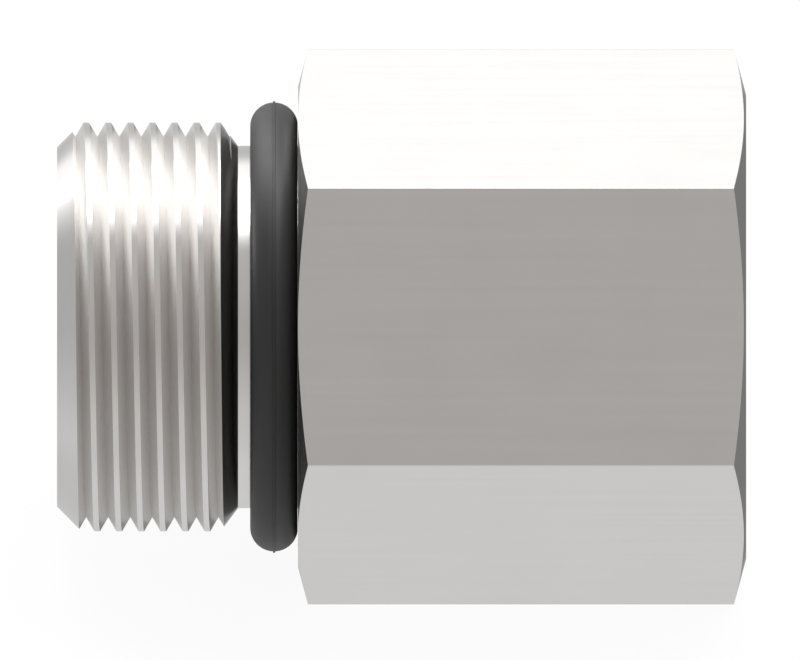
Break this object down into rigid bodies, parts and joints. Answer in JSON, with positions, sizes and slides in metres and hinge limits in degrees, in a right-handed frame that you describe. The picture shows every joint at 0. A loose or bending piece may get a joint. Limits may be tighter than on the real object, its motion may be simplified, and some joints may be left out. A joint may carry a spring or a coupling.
{
  "type": "straight adapter fitting",
  "caption": "Straight hydraulic adapter with a threaded stud sealed by an O-ring under a wrench hexagon, and a tapered female pipe port through the hexagon.",
  "frame": {"origin": "on the fitting's axis, in the plane of the shoulder that bears on the boss", "axes": "+X along the axis and out of the female port, -X out of the stud's tip, -Z out of the hexagon's flat that the fitting lies on"},
  "size_m": [0.0318, 0.0256, 0.0222],
  "materials": {
    "steel": "bright machined steel, satin on the wrench flats",
    "seal_rubber": "smooth moulded black rubber"
  },
  "bodies": {
    "root": {"fitting_body": "steel", "o_ring": "seal_rubber"}
  },
  "joints": []
}
